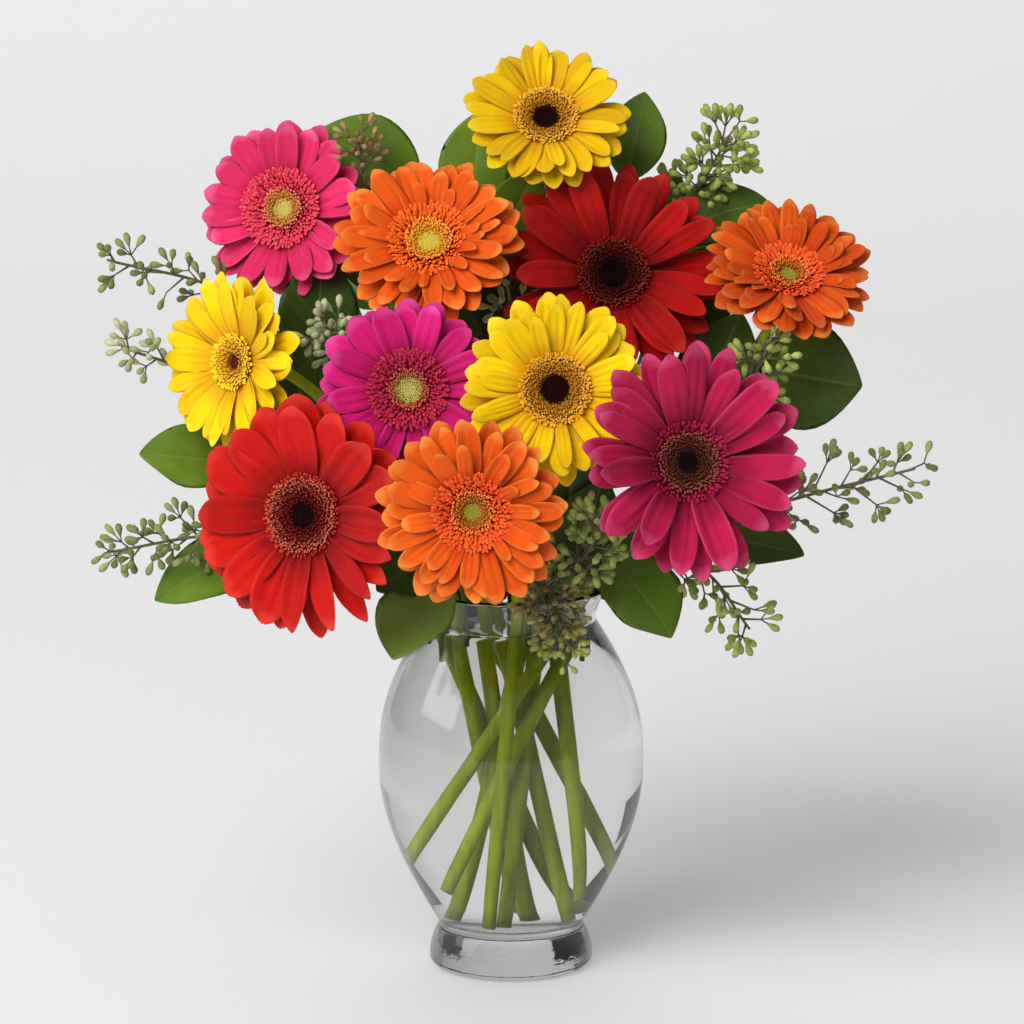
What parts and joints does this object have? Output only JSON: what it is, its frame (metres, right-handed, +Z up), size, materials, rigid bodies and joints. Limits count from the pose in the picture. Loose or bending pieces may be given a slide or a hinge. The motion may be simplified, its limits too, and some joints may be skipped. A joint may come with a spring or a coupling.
{
  "type": "gerberas in a vase",
  "caption": "Clear glass urn vase, filled with water, holding cut gerbera daisies in bright mixed colours among broad leaves and seeded twigs.",
  "frame": {"origin": "centre of the flat underside of the vase's foot", "axes": "+Z up along the vase's axis, -Y towards the front that the blooms face, +X to the right seen from the front"},
  "size_m": [0.4202, 0.2674, 0.4671],
  "materials": {
    "glass": "clear polished glass",
    "water": "clear water",
    "petal_yellow": "satin petal",
    "petal_pink": "satin petal",
    "petal_orange": "satin petal",
    "petal_red": "velvety petal",
    "petal_magenta": "satin petal",
    "petal_crimson": "satin petal",
    "eye_dark": "matt florets",
    "eye_green": "matt florets",
    "eye_tan": "matt florets",
    "stem": "satin, fine hairs",
    "leaf": "waxy leaf",
    "seed_sage": "matt seed capsules on fine twigs",
    "seed_brown": "matt seed capsules on fine twigs"
  },
  "bodies": {
    "root": {"vase": "glass", "water": "water", "petals_yellow_top": "petal_yellow", "eye_yellow_top": "eye_tan", "stem_yellow_top": "stem", "petals_pink_left": "petal_pink", "eye_pink_left": "eye_green", "stem_pink_left": "stem", "petals_orange_upper": "petal_orange", "eye_orange_upper": "eye_green", "stem_orange_upper": "stem", "petals_red_upper": "petal_red", "eye_red_upper": "eye_dark", "stem_red_upper": "stem", "petals_orange_right": "petal_orange", "eye_orange_right": "eye_green", "stem_orange_right": "stem", "petals_yellow_left": "petal_yellow", "eye_yellow_left": "eye_tan", "stem_yellow_left": "stem", "petals_magenta_middle": "petal_magenta", "eye_magenta_middle": "eye_green", "stem_magenta_middle": "stem", "petals_yellow_middle": "petal_yellow", "eye_yellow_middle": "eye_tan", "stem_yellow_middle": "stem", "petals_crimson_right": "petal_crimson", "eye_crimson_right": "eye_tan", "stem_crimson_right": "stem", "petals_red_low": "petal_red", "eye_red_low": "eye_dark", "stem_red_low": "stem", "petals_orange_low": "petal_orange", "eye_orange_low": "eye_green", "stem_orange_low": "stem", "leafy_upper_left": "leaf", "leafy_upper_middle": "leaf", "leafy_upper_right": "leaf", "leafy_right": "leaf", "leafy_left": "leaf", "leafy_front_left": "leaf", "leafy_front_right": "leaf", "leafy_back_left": "leaf", "leafy_back_middle": "leaf", "leafy_back_right": "leaf", "seeded_left_high": "seed_sage", "seeded_left_middle": "seed_sage", "seeded_left_low": "seed_sage", "seeded_top_right": "seed_sage", "seeded_right": "seed_sage", "seeded_right_low": "seed_sage", "seeded_front_low": "seed_brown", "seeded_front_right": "seed_sage", "seeded_middle_left": "seed_sage", "seeded_middle_right": "seed_sage", "seeded_upper_left": "seed_brown", "seeded_middle": "seed_sage", "seeded_back": "seed_sage"}
  },
  "joints": []
}
